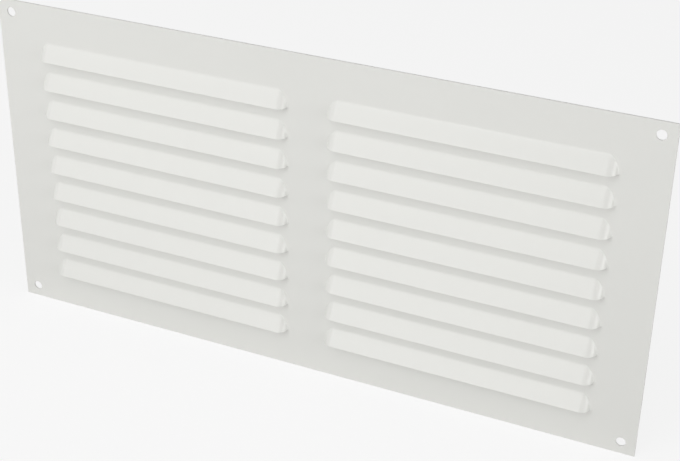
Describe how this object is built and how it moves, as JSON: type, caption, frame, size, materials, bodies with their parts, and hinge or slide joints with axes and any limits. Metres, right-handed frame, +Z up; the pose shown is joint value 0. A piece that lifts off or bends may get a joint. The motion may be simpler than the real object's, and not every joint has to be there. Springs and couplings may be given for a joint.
{
  "type": "louvred vent grille",
  "caption": "Flat pressed metal vent grille with two columns of downward-facing louvres and a screw hole in each corner.",
  "frame": {"origin": "centre of the sheet's flat back face, which lies on the wall", "axes": "+X along the panel's length, to the right as seen from the front; +Y into the wall; +Z up, so the louvres open towards -Z"},
  "size_m": [0.4, 0.0065, 0.2],
  "materials": {
    "coated_sheet": "smooth white powder coat, semi-matt"
  },
  "bodies": {
    "root": {"louvre_panel": "coated_sheet"}
  },
  "joints": []
}
